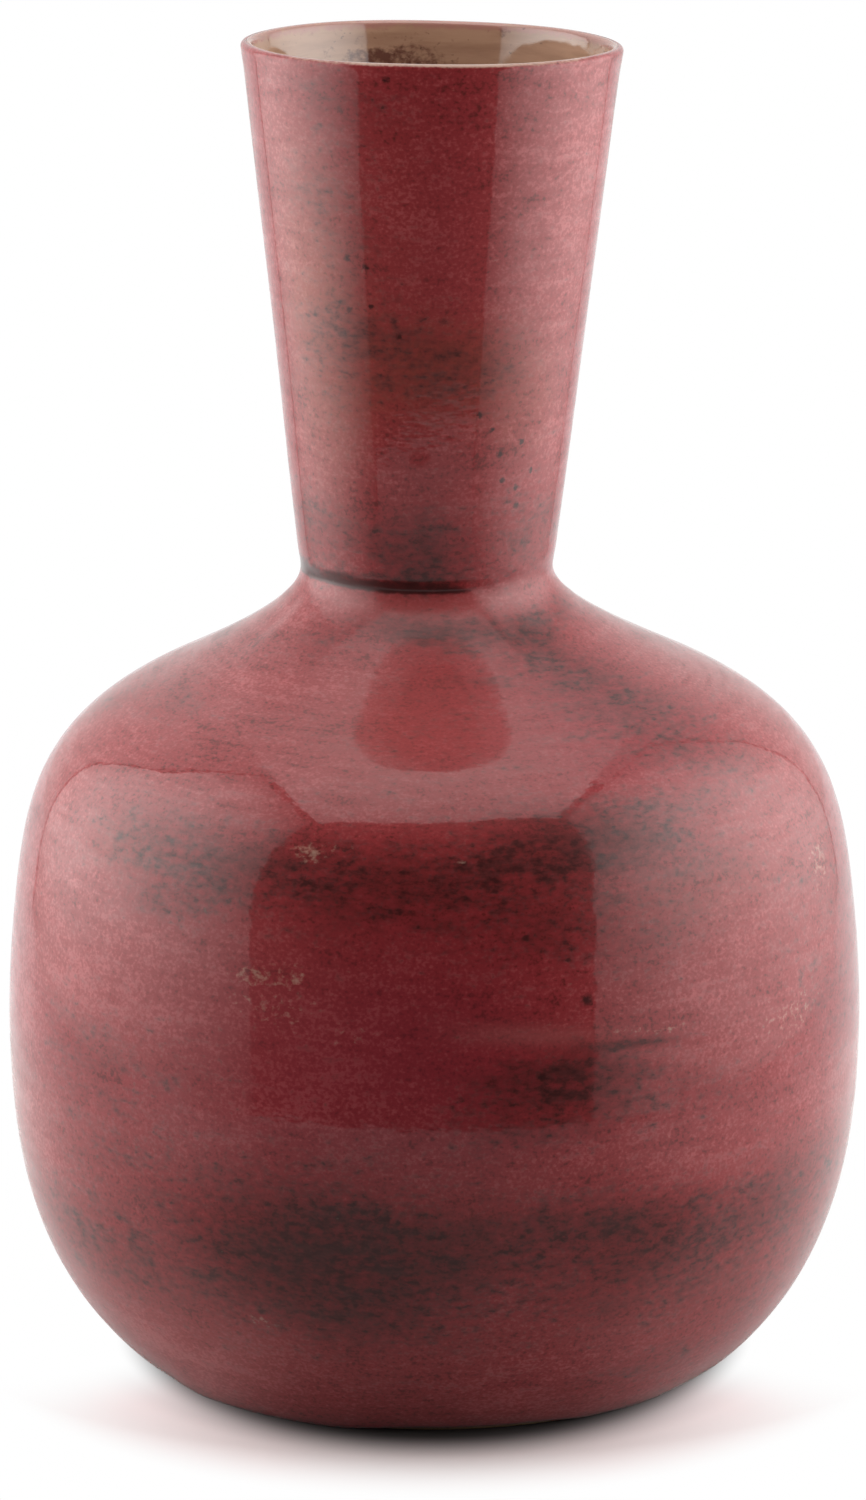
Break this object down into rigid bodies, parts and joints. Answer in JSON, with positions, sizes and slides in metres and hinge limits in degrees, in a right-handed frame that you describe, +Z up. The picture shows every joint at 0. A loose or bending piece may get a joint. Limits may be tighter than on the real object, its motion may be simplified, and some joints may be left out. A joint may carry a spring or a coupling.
{
  "type": "bottle vase",
  "caption": "Thrown pottery bottle vase: a round body, a crease under a tall flared neck, a red glaze outside and a buff one inside, on a low unglazed foot ring.",
  "frame": {"origin": "on the table, under the middle of the foot", "axes": "+Z up the axis of the body; the neck is set slightly towards -X, and the lip tips slightly down towards +X"},
  "size_m": [0.1978, 0.1978, 0.3006],
  "materials": {
    "red_glaze": "glossy copper red glaze with dark brushed smudges",
    "buff_glaze": "glossy buff grey glaze",
    "fired_clay": "bare matt stoneware, turned",
    "fired_slip": "matt fired slip"
  },
  "bodies": {
    "root": {"foot_ring": "fired_clay", "foot_slip_seam": "fired_slip", "base_bowl": "fired_clay", "belly_slip_seam": "fired_slip", "shoulder_dome": "fired_clay", "collar_slip_seam": "fired_slip", "neck": "fired_clay", "outer_glaze": "red_glaze", "lining_glaze": "buff_glaze"}
  },
  "joints": []
}
